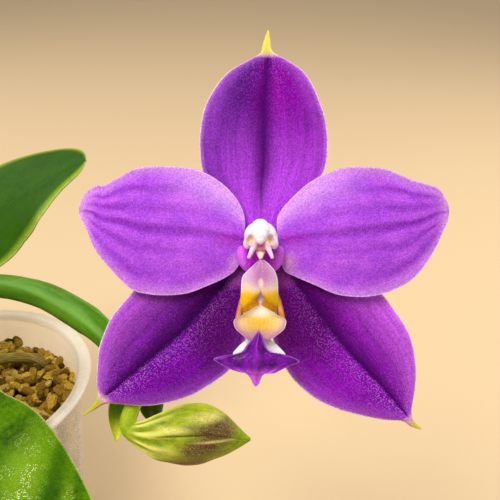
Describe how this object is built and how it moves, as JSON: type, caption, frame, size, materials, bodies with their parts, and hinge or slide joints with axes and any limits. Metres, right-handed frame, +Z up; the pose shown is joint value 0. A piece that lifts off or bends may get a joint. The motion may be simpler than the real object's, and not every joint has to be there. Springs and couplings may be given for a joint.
{
  "type": "potted moth orchid",
  "caption": "Small moth orchid in a clear pot of bark, with broad leaves and an arching spike that carries a violet star-shaped flower and a green bud.",
  "frame": {"origin": "middle of the pot's flat base, on the surface it stands on", "axes": "+Z up, -Y towards the front, from which the open flower is seen face on, +X to the viewer's right"},
  "size_m": [0.2512, 0.2091, 0.1951],
  "materials": {
    "clear_plastic": "clear, slightly milky",
    "bark": "rough",
    "stem_green": "satin",
    "leaf_green": "glossy",
    "root_green": "matt",
    "spike_green": "satin",
    "bract_green": "satin",
    "sepal_violet": "velvety with a fine sparkle",
    "petal_violet": "velvety with a fine sparkle",
    "column_white": "waxy",
    "cap_cream": "waxy",
    "foot_magenta": "waxy",
    "lip_cream": "waxy",
    "lip_white": "waxy",
    "callus_orange": "waxy",
    "midlobe_purple": "satin",
    "bud_green": "satin"
  },
  "bodies": {
    "root": {"pot": "clear_plastic", "bark_mix": "bark", "stem": "stem_green", "root_1": "root_green", "root_2": "root_green", "root_3": "root_green", "root_4": "root_green", "root_5": "root_green", "root_6": "root_green", "leaf_1": "leaf_green", "leaf_2": "leaf_green", "leaf_3": "leaf_green", "leaf_4": "leaf_green", "leaf_5": "leaf_green", "flower_spike": "spike_green", "tip_bud": "stem_green", "bud_bract": "bract_green", "bud_stalk": "bract_green", "bud": "bud_green", "pedicel": "spike_green", "dorsal_sepal": "sepal_violet", "lateral_sepal_left": "sepal_violet", "lateral_sepal_right": "sepal_violet", "petal_left": "petal_violet", "petal_right": "petal_violet", "column": "column_white", "anther_cap": "cap_cream", "column_foot": "foot_magenta", "lip_plate": "lip_white", "lip_side_lobes": "lip_cream", "lip_callus": "callus_orange", "lip_midlobe": "midlobe_purple"}
  },
  "joints": []
}
